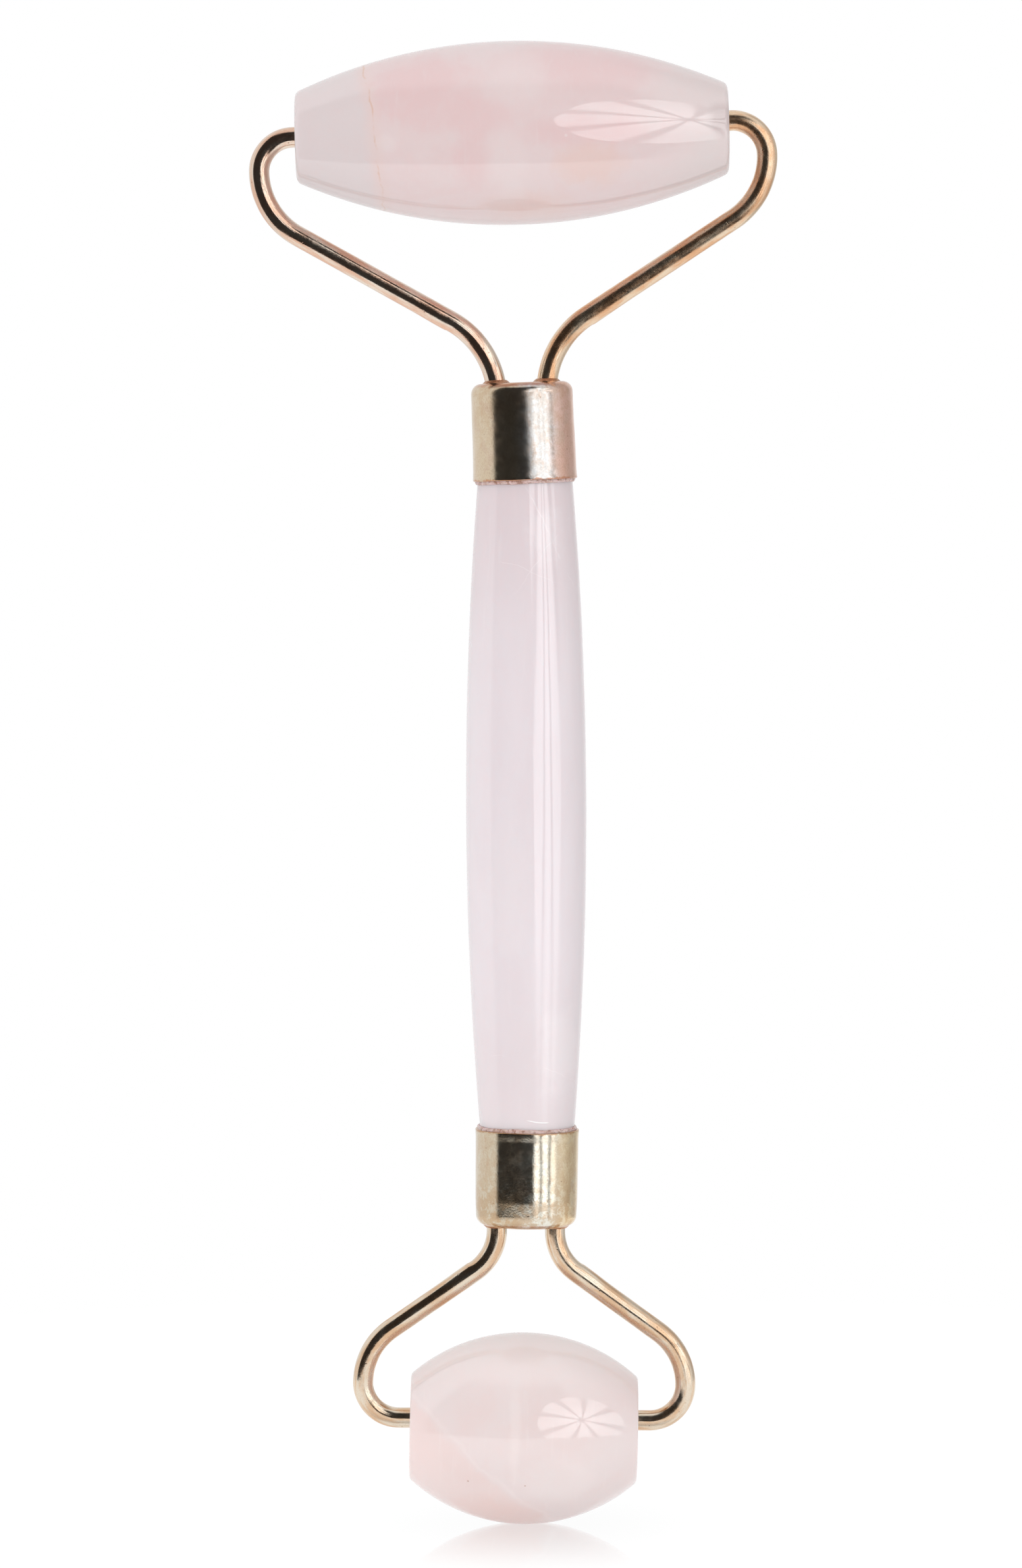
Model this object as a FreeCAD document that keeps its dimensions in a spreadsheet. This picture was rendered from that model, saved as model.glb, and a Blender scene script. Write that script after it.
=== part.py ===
"""Double-ended face roller: two polished stone barrels that spin on bent wire forks, one at each end of a stone grip.

Frame: millimetres, +Z up the grip towards the large roller, +X along the rollers, origin in the middle of the grip.

Each end of the grip carries a head: a drawn brass ferrule cemented over the grip's slim end, two wire arms brazed
into the ferrule's end wall with their tails set in the cement, and a barrel with a nylon bush in each end that turns
on the arms' tips. A head is modelled upright in a frame of its own, whose origin is the middle of the ferrule's
mouth, with +Z away from the grip. Both heads come from the same functions. Cement lets a head settle a little off
straight, and the barrels are drilled by hand, so each head has a small lean and each barrel sits a little off its
axle.
"""

import FreeCAD
import Part
import math
import os

import Sketcher

DRIVING_SIZES = {
    # stone grip
    "grip_exposed_length": 63.6,
    "grip_middle_diameter": 11.8,
    "grip_crown_radius": 397,
    "grip_seat_depth": 4.8,
    "grip_end_round": 0.5,
    # drawn ferrule, and the cement inside it
    "ferrule_mouth_diameter": 10.1,
    "ferrule_end_diameter": 9.9,
    "ferrule_length": 9.5,
    "ferrule_wall": 0.3,
    "ferrule_end_wall": 0.5,
    "ferrule_corner_round": 1.0,
    "ferrule_inner_round": 0.6,
    "wire_hole_diameter": 2.3,
    "glue_bead_depth": 0.45,
    "glue_bead_diameter": 9.8,
    "glue_bead_foot_diameter": 9.45,
    # wire and its brazed joints
    "wire_diameter": 2.0,
    "wire_end_chamfer": 0.2,
    "wire_tail": 3.7,
    "wire_tip": 6.4,
    "braze_foot_diameter": 2.9,
    "braze_top_diameter": 2.2,
    "braze_rise": 0.4,
    # bored ends of the barrels, and their bushes
    "bush_diameter": 3.2,
    "bush_bore": 2.1,
    "bush_length": 7.0,
    "bush_chamfer": 0.15,
    "drill_depth": 8.0,
    "drill_point_angle": 118.0,
    "drill_overrun": 0.5,
    # large head
    "large_barrel_length": 42.1,
    "large_barrel_diameter": 17.85,
    "large_barrel_end_diameter": 8.7,
    "large_barrel_edge_round": 0.8,
    "large_barrel_drop": -0.4,
    "large_barrel_skew": 1.0,
    "large_axle_height": 34.15,
    "large_wire_entry": 2.42,
    "large_neck_height": 8.2,
    "large_neck_radius": 8.8,
    "large_arm_angle": 31.2,
    "large_shoulder_radius": 7.3,
    "large_tip_radius": 3.35,
    "large_lean": -2.0,
    # small head
    "small_barrel_length": 22.35,
    "small_barrel_diameter": 18.8,
    "small_barrel_end_diameter": 10.3,
    "small_barrel_edge_round": 0.65,
    "small_barrel_drop": 0.9,
    "small_barrel_skew": -0.4,
    "small_axle_height": 28.75,
    "small_wire_entry": 2.86,
    "small_neck_height": 10.1,
    "small_neck_radius": 4.95,
    "small_arm_angle": 35.4,
    "small_shoulder_radius": 6.5,
    "small_tip_radius": 3.5,
    "small_lean": 0.85,
}

X_AXIS = FreeCAD.Vector(1, 0, 0)
Y_AXIS = FreeCAD.Vector(0, 1, 0)
Z_AXIS = FreeCAD.Vector(0, 0, 1)
START, END, CENTRE = 1, 2, 3  # how Sketcher numbers the points of a line or an arc
ON_PLANE_MM = 0.01  # how near an edge's points lie to the place it is looked for
MAX_VOLUME_ERROR = 0.01  # share by which a wire may differ from its section times its length

doc = FreeCAD.newDocument("FaceRoller")
sheet = doc.addObject("Spreadsheet::Sheet", "Sizes")


def fill_sheet():
    """One row for each driving size: its name, and its value in millimetres or degrees under that alias."""
    for row, (name, number) in enumerate(DRIVING_SIZES.items(), start=1):
        sheet.set(f"A{row}", name)
        sheet.set(f"B{row}", str(number))
        sheet.setAlias(f"B{row}", name)
    doc.recompute()


def value(expression):
    """What an expression over the sheet comes to, as a plain number."""
    return float(sheet.evalExpression(expression))


# Sketches


def new_body(label, placement):
    body = doc.addObject("PartDesign::Body", "Body_" + label)
    body.Label = label
    body.Placement = placement
    return body


def sketch_on(body, role, name, lift=None):
    """A sketch on one of the body's own origin planes, lifted off it along the normal by an expression."""
    sketch = body.newObject("Sketcher::SketchObject", name)
    plane = next(f for f in body.Origin.OriginFeatures if f.Role == role)
    sketch.AttachmentSupport = [(plane, "")]
    sketch.MapMode = "FlatFace"
    if lift:
        sketch.setExpression("AttachmentOffset.Base.z", lift)
    return sketch


def constrain(sketch, kind, *where, size=None):
    """Adds a constraint, bound to an expression where it has a size."""
    if size is None:
        sketch.addConstraint(Sketcher.Constraint(kind, *where))
        return
    number = value(size)
    if kind == "Angle":
        number = math.radians(number)
    index = sketch.addConstraint(Sketcher.Constraint(kind, *where, number))
    sketch.setExpression(f"Constraints[{index}]", size)


def pin_point(sketch, element, point, x_size, y_size):
    """Fixes one point of an element at a place given by two expressions. A size of "0" puts it on that axis."""
    for kind, size, axis in (("DistanceX", x_size, -2), ("DistanceY", y_size, -1)):
        if size == "0":
            constrain(sketch, "PointOnObject", element, point, axis)
        else:
            constrain(sketch, kind, element, point, size=size)


def closed_outline(sketch, corners, arcs=None):
    """A closed outline through corners, each an (x, y) pair of expressions. arcs maps the number of a side to the
    expression of its radius; such a side bulges to the right of its direction of travel."""
    arcs = arcs or {}
    places = [FreeCAD.Vector(value(x), value(y), 0) for x, y in corners]
    count = len(corners)
    joints = []
    for side in range(count):
        first, last = places[side], places[(side + 1) % count]
        if side not in arcs:
            sketch.addGeometry(Part.LineSegment(first, last), False)
            joints.append((START, END))
            continue
        radius = value(arcs[side])
        along = last - first
        outward = FreeCAD.Vector(along.y, -along.x, 0).normalize()
        rise = radius - math.sqrt(radius**2 - (along.Length / 2) ** 2)
        crown = (first + last) / 2 + outward * rise
        sketch.addGeometry(Part.Arc(first, crown, last), False)
        joints.append((START, END))
    for side in range(count):
        after = (side + 1) % count
        constrain(sketch, "Coincident", side, joints[side][1], after, joints[after][0])
    for side, (x_size, y_size) in enumerate(corners):
        pin_point(sketch, side, joints[side][0], x_size, y_size)
    for side, radius in arcs.items():
        constrain(sketch, "Radius", side, size=radius)
    check_sketch(sketch)


def check_sketch(sketch):
    if sketch.solve() != 0:
        raise RuntimeError(f"{sketch.Name} has no solution")


# Features


def revolve(body, sketch, axis, kind="PartDesign::Revolution"):
    feature = body.newObject(kind, sketch.Name + "_turned")
    feature.Profile = sketch
    feature.ReferenceAxis = (sketch, [axis])
    feature.Angle = 360.0
    sketch.Visibility = False
    doc.recompute()
    return feature


def ring_edges(feature, axis, offset):
    """Names of the round edges of a feature that lie in the plane at offset along axis (0 for X, 2 for Z)."""
    names = []
    for number, edge in enumerate(feature.Shape.Edges, start=1):
        box = edge.BoundBox
        low = (box.XMin, box.YMin, box.ZMin)[axis]
        high = (box.XMax, box.YMax, box.ZMax)[axis]
        if isinstance(edge.Curve, Part.Circle) and max(abs(low - offset), abs(high - offset)) < ON_PLANE_MM:
            names.append(f"Edge{number}")
    if not names:
        raise RuntimeError(f"{feature.Label} has no round edge at {offset}")
    return names


def dress(body, kind, feature, edges, size):
    """A Fillet or Chamfer on some of a feature's edges, its size bound to an expression."""
    dressed = body.newObject("PartDesign::" + kind, f"{feature.Name}_{kind}")
    dressed.Base = (feature, edges)
    dressed.setExpression("Radius" if kind == "Fillet" else "Size", size)
    doc.recompute()
    return dressed


# Stone grip


def build_grip():
    """A barrel-shaped rod whose slimmer ends go into the ferrules."""
    body = new_body("handle", FreeCAD.Placement())
    end_z = "Sizes.grip_exposed_length / 2 + Sizes.grip_seat_depth"
    waist = "Sizes.grip_middle_diameter / 2 - Sizes.grip_crown_radius"
    end_r = f"{waist} + sqrt(Sizes.grip_crown_radius^2 - ({end_z})^2)"
    outline = sketch_on(body, "XZ_Plane", "grip_outline")
    corners = [("0", f"-({end_z})"), (end_r, f"-({end_z})"), (end_r, end_z), ("0", end_z)]
    closed_outline(outline, corners, arcs={1: "Sizes.grip_crown_radius"})
    turned = revolve(body, outline, "V_Axis")
    tip = value(end_z)
    dress(body, "Fillet", turned, ring_edges(turned, 2, -tip) + ring_edges(turned, 2, tip), "Sizes.grip_end_round")
    return body


# Heads


def head_placement(head):
    """Puts a head's own frame at the ferrule's mouth, at its end of the grip, with its lean."""
    mouth = value("Sizes.grip_exposed_length / 2")
    lean = FreeCAD.Rotation(Y_AXIS, value(f"Sizes.{head}_lean"))
    if head == "large":
        return FreeCAD.Placement(Z_AXIS * mouth, lean)
    return FreeCAD.Placement(Z_AXIS * -mouth, lean * FreeCAD.Rotation(X_AXIS, 180))


def on_side(placement, side):
    """The same frame for the right side, or turned half round the head's axis for the left."""
    if side == "right":
        return placement
    return placement * FreeCAD.Placement(FreeCAD.Vector(), FreeCAD.Rotation(Z_AXIS, 180))


def raised(placement, height):
    return placement * FreeCAD.Placement(Z_AXIS * height, FreeCAD.Rotation())


MOUTH_INNER = "(Sizes.ferrule_mouth_diameter / 2 - Sizes.ferrule_wall)"
END_INNER = "(Sizes.ferrule_end_diameter / 2 - Sizes.ferrule_wall)"
INNER_HEIGHT = "(Sizes.ferrule_length - Sizes.ferrule_end_wall)"


def build_ferrule(head, placement):
    """A deep-drawn cup, a little wider at its mouth, with two holes in its end wall for the arms."""
    body = new_body(f"{head}_ferrule", placement)
    outline = sketch_on(body, "XZ_Plane", f"{head}_cup_outline")
    corners = [
        (MOUTH_INNER, "0"),
        ("Sizes.ferrule_mouth_diameter / 2", "0"),
        ("Sizes.ferrule_end_diameter / 2", "Sizes.ferrule_length"),
        ("0", "Sizes.ferrule_length"),
        ("0", INNER_HEIGHT),
        (END_INNER, INNER_HEIGHT),
    ]
    closed_outline(outline, corners)
    cup = revolve(body, outline, "V_Axis")
    outer = dress(
        body, "Fillet", cup, ring_edges(cup, 2, value("Sizes.ferrule_length")), "Sizes.ferrule_corner_round"
    )
    inner = dress(
        body, "Fillet", outer, ring_edges(outer, 2, value(INNER_HEIGHT)), "Sizes.ferrule_inner_round"
    )
    holes = sketch_on(body, "XY_Plane", f"{head}_wire_holes")
    entry = value(f"Sizes.{head}_wire_entry")
    radius = value("Sizes.wire_hole_diameter / 2")
    for number, sign in enumerate((1, -1)):
        middle = FreeCAD.Vector(sign * entry, 0, 0)
        holes.addGeometry(Part.Circle(middle, Z_AXIS, radius), False)
        constrain(holes, "Diameter", number, size="Sizes.wire_hole_diameter")
    constrain(holes, "PointOnObject", 0, CENTRE, -1)
    constrain(holes, "DistanceX", 0, CENTRE, size=f"Sizes.{head}_wire_entry")
    constrain(holes, "Symmetric", 0, CENTRE, 1, CENTRE, -2)
    check_sketch(holes)
    before = inner.Shape.Volume
    cut = body.newObject("PartDesign::Pocket", f"{head}_wire_hole_cut")
    cut.Profile = holes
    cut.Type = "ThroughAll"
    cut.Reversed = True
    doc.recompute()
    removed = 2 * math.pi * radius**2 * value("Sizes.ferrule_end_wall")
    if abs(before - cut.Shape.Volume - removed) > 0.05 * removed:
        raise RuntimeError(f"{head} ferrule: the wire holes aren't cut through the end wall alone")
    return body


def build_arm(head, side, placement):
    """One bent wire arm: a straight tail in the cement, a neck bend, a slanting run, a wide shoulder bend, a tight
    bend in towards the barrel, and a straight tip that is the barrel's axle."""
    body = new_body(f"{head}_fork_{side}_arm", on_side(placement, side))
    name = f"{head}_{side}_arm"
    entry = value(f"Sizes.{head}_wire_entry")
    neck_z = value(f"Sizes.{head}_neck_height")
    neck_r = value(f"Sizes.{head}_neck_radius")
    slant = math.radians(value(f"Sizes.{head}_arm_angle"))
    shoulder_r = value(f"Sizes.{head}_shoulder_radius")
    tip_r = value(f"Sizes.{head}_tip_radius")
    axle_z = value(f"Sizes.{head}_axle_height")
    tail_size = f"{INNER_HEIGHT} - Sizes.wire_tail"
    tip_size = f"Sizes.{head}_barrel_length / 2 - Sizes.wire_tip"
    tail_z = value(tail_size)
    tip_x = value(tip_size)

    along = FreeCAD.Vector(math.cos(slant), math.sin(slant), 0)
    run_start = FreeCAD.Vector(entry + neck_r * (1 - math.sin(slant)), neck_z + neck_r * math.cos(slant), 0)
    run_rise = axle_z - tip_r - shoulder_r * math.cos(slant) - run_start.y
    run_length = run_rise / math.sin(slant)
    run_end = run_start + along * run_length
    shoulder_centre = run_end + FreeCAD.Vector(-along.y, along.x, 0) * shoulder_r
    outermost = shoulder_centre + X_AXIS * shoulder_r
    tip_centre = outermost - X_AXIS * tip_r
    tip_start = tip_centre + Y_AXIS * tip_r
    neck_centre = FreeCAD.Vector(entry + neck_r, neck_z, 0)
    tail_start = FreeCAD.Vector(entry, tail_z, 0)
    tail_end = FreeCAD.Vector(entry, neck_z, 0)

    def bend(centre, radius, first, last):
        return Part.ArcOfCircle(Part.Circle(centre, Z_AXIS, radius), first, last)

    path = sketch_on(body, "XZ_Plane", name + "_path")
    pieces = [
        Part.LineSegment(tail_start, tail_end),
        bend(neck_centre, neck_r, math.pi / 2 + slant, math.pi),
        Part.LineSegment(run_start, run_end),
        bend(shoulder_centre, shoulder_r, slant - math.pi / 2, 0),
        bend(tip_centre, tip_r, 0, math.pi / 2),
        Part.LineSegment(tip_start, FreeCAD.Vector(tip_x, axle_z, 0)),
    ]
    for piece in pieces:
        path.addGeometry(piece, False)
    tail, neck, run, shoulder, turn_in, tip = range(len(pieces))
    constrain(path, "Tangent", tail, END, neck, END)
    constrain(path, "Tangent", neck, START, run, START)
    constrain(path, "Tangent", run, END, shoulder, START)
    constrain(path, "Tangent", shoulder, END, turn_in, START)
    constrain(path, "Tangent", turn_in, END, tip, START)
    constrain(path, "Vertical", tail)
    constrain(path, "Horizontal", tip)
    constrain(path, "Horizontal", shoulder, CENTRE, shoulder, END)
    constrain(path, "DistanceX", tail, START, size=f"Sizes.{head}_wire_entry")
    constrain(path, "DistanceY", tail, START, size=tail_size)
    constrain(path, "DistanceY", tail, END, size=f"Sizes.{head}_neck_height")
    constrain(path, "Radius", neck, size=f"Sizes.{head}_neck_radius")
    constrain(path, "Angle", run, size=f"Sizes.{head}_arm_angle")
    constrain(path, "Radius", shoulder, size=f"Sizes.{head}_shoulder_radius")
    constrain(path, "Radius", turn_in, size=f"Sizes.{head}_tip_radius")
    constrain(path, "DistanceY", tip, START, size=f"Sizes.{head}_axle_height")
    constrain(path, "DistanceX", tip, END, size=tip_size)
    check_sketch(path)

    section = sketch_on(body, "XY_Plane", name + "_section", lift=tail_size)
    section.addGeometry(Part.Circle(FreeCAD.Vector(entry, 0, 0), Z_AXIS, value("Sizes.wire_diameter / 2")), False)
    constrain(section, "PointOnObject", 0, CENTRE, -1)
    constrain(section, "DistanceX", 0, CENTRE, size=f"Sizes.{head}_wire_entry")
    constrain(section, "Diameter", 0, size="Sizes.wire_diameter")
    check_sketch(section)
    doc.recompute()

    wire = body.newObject("PartDesign::AdditivePipe", name + "_wire")
    wire.Profile = section
    wire.Spine = (path, [f"Edge{number + 1}" for number in range(len(pieces))])
    doc.recompute()
    expected = path.Shape.Length * math.pi * value("Sizes.wire_diameter / 2") ** 2
    if abs(wire.Shape.Volume / expected - 1) > MAX_VOLUME_ERROR:
        raise RuntimeError(f"{name}: volume {wire.Shape.Volume:.2f} where {expected:.2f} is expected")
    ends = ring_edges(wire, 0, tip_x) + ring_edges(wire, 2, tail_z)
    dress(body, "Chamfer", wire, ends, "Sizes.wire_end_chamfer")
    return body


def fuse(label, shapes):
    fused = doc.addObject("Part::MultiFuse", label)
    fused.Label = label
    fused.Shapes = shapes
    return fused


def build_braze(head, placement, arms):
    """The filler that wets both wires where they pass the ferrule's end wall: it fills each hole round its wire and
    stands up in a small cone."""
    blanks = []
    for side, arm in arms.items():
        frame = on_side(placement, side)
        entry = FreeCAD.Placement(X_AXIS * value(f"Sizes.{head}_wire_entry"), FreeCAD.Rotation())
        plug = doc.addObject("Part::Cylinder", f"{head}_{side}_braze_plug")
        plug.setExpression("Radius", "Sizes.wire_hole_diameter / 2")
        plug.setExpression("Height", "Sizes.ferrule_end_wall")
        plug.Placement = raised(frame * entry, value(INNER_HEIGHT))
        cone = doc.addObject("Part::Cone", f"{head}_{side}_braze_cone")
        cone.setExpression("Radius1", "Sizes.braze_foot_diameter / 2")
        cone.setExpression("Radius2", "Sizes.braze_top_diameter / 2")
        cone.setExpression("Height", "Sizes.braze_rise")
        cone.Placement = raised(frame * entry, value("Sizes.ferrule_length"))
        blanks += [plug, cone]
    blank = fuse(f"{head}_braze_blank", blanks)
    braze = doc.addObject("Part::Cut", f"{head}_braze_cut")
    braze.Label = f"{head}_fork_braze"
    braze.Base = blank
    braze.Tool = fuse(f"{head}_arms_in_braze", list(arms.values()))
    return braze


def build_cement(head, placement, grip, arms):
    """The cured epoxy: everything inside the ferrule that the grip and the arms' tails leave free, and a thin bead
    squeezed out of the ferrule's mouth on to the grip."""
    body = new_body(f"{head}_cement_blank", placement)
    outline = sketch_on(body, "XZ_Plane", f"{head}_cement_outline")
    corners = [
        ("0", "-Sizes.glue_bead_depth"),
        ("Sizes.glue_bead_foot_diameter / 2", "-Sizes.glue_bead_depth"),
        ("Sizes.glue_bead_diameter / 2", "0"),
        (MOUTH_INNER, "0"),
        (END_INNER, INNER_HEIGHT),
        ("0", INNER_HEIGHT),
    ]
    closed_outline(outline, corners)
    fill = revolve(body, outline, "V_Axis")
    dress(body, "Fillet", fill, ring_edges(fill, 2, value(INNER_HEIGHT)), "Sizes.ferrule_inner_round")
    cement = doc.addObject("Part::Cut", f"{head}_cement_cut")
    cement.Label = f"{head}_ferrule_cement"
    cement.Base = body
    cement.Tool = fuse(f"{head}_pieces_in_cement", [grip, *arms.values()])
    return cement


def build_drill(head, side, placement):
    """The shape a twist drill leaves: the bush's bore and its cone, with some overrun outside the barrel's face."""
    frame = raised(on_side(placement, side), value(f"Sizes.{head}_axle_height"))
    body = new_body(f"{head}_{side}_drill", frame)
    mouth = f"Sizes.{head}_barrel_length / 2 + Sizes.drill_overrun"
    floor = f"Sizes.{head}_barrel_length / 2 - Sizes.drill_depth"
    point = f"{floor} - Sizes.bush_diameter / 2 / tan(Sizes.drill_point_angle * 0.5 deg)"
    wall_r = "Sizes.bush_diameter / 2"
    outline = sketch_on(body, "XZ_Plane", f"{head}_{side}_drill_outline")
    closed_outline(outline, [(point, "0"), (mouth, "0"), (mouth, wall_r), (floor, wall_r)])
    revolve(body, outline, "H_Axis")
    return body


def build_barrel(head, placement):
    """A polished stone barrel with a blind bore drilled in from each end along the axle. Its own middle lies off the
    axle by the drop, away from the grip, and its own axis is askew to it."""
    height = value(f"Sizes.{head}_axle_height + Sizes.{head}_barrel_drop")
    skew = FreeCAD.Placement(FreeCAD.Vector(), FreeCAD.Rotation(Y_AXIS, value(f"Sizes.{head}_barrel_skew")))
    body = new_body(f"{head}_barrel_blank", raised(placement, height) * skew)
    half = f"Sizes.{head}_barrel_length / 2"
    end_r = f"Sizes.{head}_barrel_end_diameter / 2"
    bulge = f"(Sizes.{head}_barrel_diameter - Sizes.{head}_barrel_end_diameter) / 2"
    crown_radius = f"(({half})^2 + ({bulge})^2) / (2 * ({bulge}))"
    outline = sketch_on(body, "XZ_Plane", f"{head}_barrel_outline")
    corners = [(half, "0"), (half, end_r), (f"-({half})", end_r), (f"-({half})", "0")]
    closed_outline(outline, corners, arcs={1: crown_radius})
    turned = revolve(body, outline, "H_Axis")
    face = value(half)
    edges = ring_edges(turned, 0, face) + ring_edges(turned, 0, -face)
    dress(body, "Fillet", turned, edges, f"Sizes.{head}_barrel_edge_round")
    barrel = doc.addObject("Part::Cut", f"{head}_barrel_cut")
    barrel.Label = f"{head}_roller"
    barrel.Base = body
    barrel.Tool = fuse(f"{head}_drills", [build_drill(head, side, placement) for side in ("left", "right")])
    return barrel


def build_bush(head, side, placement):
    """A plain nylon sleeve pressed in flush with the barrel's face, with its mouth eased."""
    frame = raised(on_side(placement, side), value(f"Sizes.{head}_axle_height"))
    body = new_body(f"{head}_roller_{side}_bush", frame)
    outline = sketch_on(body, "XZ_Plane", f"{head}_{side}_bush_outline")
    face = f"Sizes.{head}_barrel_length / 2"
    inner = f"{face} - Sizes.bush_length"
    bore_r = "Sizes.bush_bore / 2"
    wall_r = "Sizes.bush_diameter / 2"
    corners = [
        (inner, bore_r),
        (f"{face} - Sizes.bush_chamfer", bore_r),
        (face, f"{bore_r} + Sizes.bush_chamfer"),
        (face, wall_r),
        (inner, wall_r),
    ]
    closed_outline(outline, corners)
    revolve(body, outline, "H_Axis")
    return body


def build_head(head, grip):
    placement = head_placement(head)
    arms = {side: build_arm(head, side, placement) for side in ("left", "right")}
    pieces = [build_ferrule(head, placement), *arms.values(), build_braze(head, placement, arms)]
    pieces.append(build_cement(head, placement, grip, arms))
    pieces.append(build_barrel(head, placement))
    pieces += [build_bush(head, side, placement) for side in ("left", "right")]
    return pieces


def check_objects():
    for obj in doc.Objects:
        if "Invalid" in obj.State or "Error" in obj.State:
            raise RuntimeError(f"{obj.Label} failed to recompute: {obj.State}")


def write_parts(pieces):
    os.makedirs("parts", exist_ok=True)
    for piece in pieces:
        shape = piece.Shape
        if shape.isNull() or not shape.isValid() or not shape.Solids:
            raise RuntimeError(f"{piece.Label} has no valid solid")
        shape.exportStep(f"parts/{piece.Label}.step")
        print(f"{piece.Label}: {len(shape.Solids)} solid(s), {shape.Volume:.1f} mm3")


def main():
    fill_sheet()
    grip = build_grip()
    pieces = [grip]
    for head in ("large", "small"):
        pieces += build_head(head, grip)
    doc.recompute()
    check_objects()
    write_parts(pieces)


main()
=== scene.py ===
import math

import bmesh
import bpy
from mathutils import Euler, Matrix, Vector


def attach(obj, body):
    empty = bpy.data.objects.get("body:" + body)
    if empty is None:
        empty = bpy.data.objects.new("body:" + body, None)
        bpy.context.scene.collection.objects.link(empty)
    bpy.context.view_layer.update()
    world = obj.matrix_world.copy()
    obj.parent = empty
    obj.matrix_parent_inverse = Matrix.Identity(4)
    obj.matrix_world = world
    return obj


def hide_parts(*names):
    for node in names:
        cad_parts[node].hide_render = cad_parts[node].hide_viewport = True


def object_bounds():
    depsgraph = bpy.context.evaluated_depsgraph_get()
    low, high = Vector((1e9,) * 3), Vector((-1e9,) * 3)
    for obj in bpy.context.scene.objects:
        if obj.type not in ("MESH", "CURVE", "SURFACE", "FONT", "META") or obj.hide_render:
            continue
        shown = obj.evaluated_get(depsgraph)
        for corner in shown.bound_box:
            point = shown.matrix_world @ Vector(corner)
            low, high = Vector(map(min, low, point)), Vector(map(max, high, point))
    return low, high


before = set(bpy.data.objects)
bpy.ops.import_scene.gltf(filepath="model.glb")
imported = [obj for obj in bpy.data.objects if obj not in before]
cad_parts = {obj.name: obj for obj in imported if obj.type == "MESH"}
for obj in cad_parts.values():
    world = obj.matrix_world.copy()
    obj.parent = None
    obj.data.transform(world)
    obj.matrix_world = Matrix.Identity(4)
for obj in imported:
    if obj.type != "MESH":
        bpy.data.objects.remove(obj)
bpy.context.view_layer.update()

# A rose quartz face roller with a barrel at each end. Metres, +Z up the grip towards the large barrel, +X
# along the barrels. Each head is made upright in a frame of its own, whose origin is the middle of its
# ferrule's mouth and whose +Z points away from the grip, and is then placed with its lean.

MM = 0.001

# Sizes in millimetres and degrees

GRIP = {"exposed": 63.6, "middle": 11.8, "crown": 397.0, "seat": 4.8, "edge": 0.5}
FERRULE = {"mouth": 10.1, "end": 9.9, "length": 9.5, "wall": 0.3, "end_wall": 0.5, "corner": 1.0}
WIRE = {"diameter": 2.0, "tail": 3.7, "tip": 6.4}
BORE = {"diameter": 3.2, "depth": 8.0, "point": 118.0}
HEADS = {
    "large": {
        "barrel": {"length": 42.1, "middle": 17.85, "end": 8.7, "edge": 0.8, "drop": -0.4, "skew": 1.0},
        "arm": {"entry": 2.42, "neck": 8.2, "neck_bend": 8.8, "slant": 31.2, "shoulder": 7.3, "tip": 3.35},
        "axle": 34.15,
        "lean": -2.0,
    },
    "small": {
        "barrel": {"length": 22.35, "middle": 18.8, "end": 10.3, "edge": 0.65, "drop": 0.9, "skew": -0.4},
        "arm": {"entry": 2.86, "neck": 10.1, "neck_bend": 4.95, "slant": 35.4, "shoulder": 6.5, "tip": 3.5},
        "axle": 28.75,
        "lean": 0.85,
    },
}

# What the hand left on each piece: how uneven it is, and the seed of its own pattern
HAND = {
    "grip": {"uneven": 0.05, "seed": 6.2},
    "large_barrel": {"uneven": 0.05, "seed": 4.4},
    "small_barrel": {"uneven": 0.05, "seed": 7.7},
    "large_cup": {"uneven": 0.07, "seed": 5.0, "drawn_in": 0.02},
    "small_cup": {"uneven": 0.04, "seed": 1.6, "drawn_in": 0.10},
    "large_bead": {"uneven": 0.20, "seed": 2.3},
    "small_bead": {"uneven": 0.34, "seed": 9.1},
}


# Node building


def put(tree, kind, at=None, **settings):
    """Adds a node, sets its properties, and fills its inputs. at maps an input's name or number to a value
    or to an output to link from."""
    made = tree.nodes.new(kind)
    for name, setting in settings.items():
        setattr(made, name, setting)
    for key, filling in (at or {}).items():
        fill(tree, made.inputs[key], filling)
    return made


def fill(tree, socket, filling):
    if isinstance(filling, bpy.types.NodeSocket):
        tree.links.new(filling, socket)
    else:
        socket.default_value = filling


def sums(tree, operation, *terms):
    """A Math node over values and outputs."""
    return put(tree, "ShaderNodeMath", dict(enumerate(terms)), operation=operation).outputs[0]


def times(tree, first, *others):
    for other in others:
        first = sums(tree, "MULTIPLY", first, other)
    return first


def vectors(tree, operation, *terms):
    made = put(tree, "ShaderNodeVectorMath", dict(enumerate(terms)), operation=operation)
    return made.outputs["Value"] if operation in ("LENGTH", "DOT_PRODUCT") else made.outputs[0]


def joined(tree, x, y, z):
    return put(tree, "ShaderNodeCombineXYZ", {0: x, 1: y, 2: z}).outputs[0]


def split(tree, where):
    return put(tree, "ShaderNodeSeparateXYZ", {0: where}).outputs


def shift(tree, where, offset):
    return vectors(tree, "ADD", where, offset)


def stretch(tree, where, factors):
    return vectors(tree, "MULTIPLY", where, factors)


def away_from(tree, where, point):
    return shift(tree, where, tuple(-c for c in point))


def ease(tree, source, low, high, start=0.0, end=1.0):
    """start where the source is under low, end where it is over high, and a smooth step between them."""
    at = {"Value": source, "From Min": low, "From Max": high, "To Min": start, "To Max": end}
    return put(tree, "ShaderNodeMapRange", at, interpolation_type="SMOOTHSTEP").outputs[0]


def noise(tree, where, scale, detail=3.0, rough=0.5, warp=0.0):
    at = {"Vector": where, "Scale": scale, "Detail": detail, "Roughness": rough, "Distortion": warp}
    return put(tree, "ShaderNodeTexNoise", at).outputs["Fac"]


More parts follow.
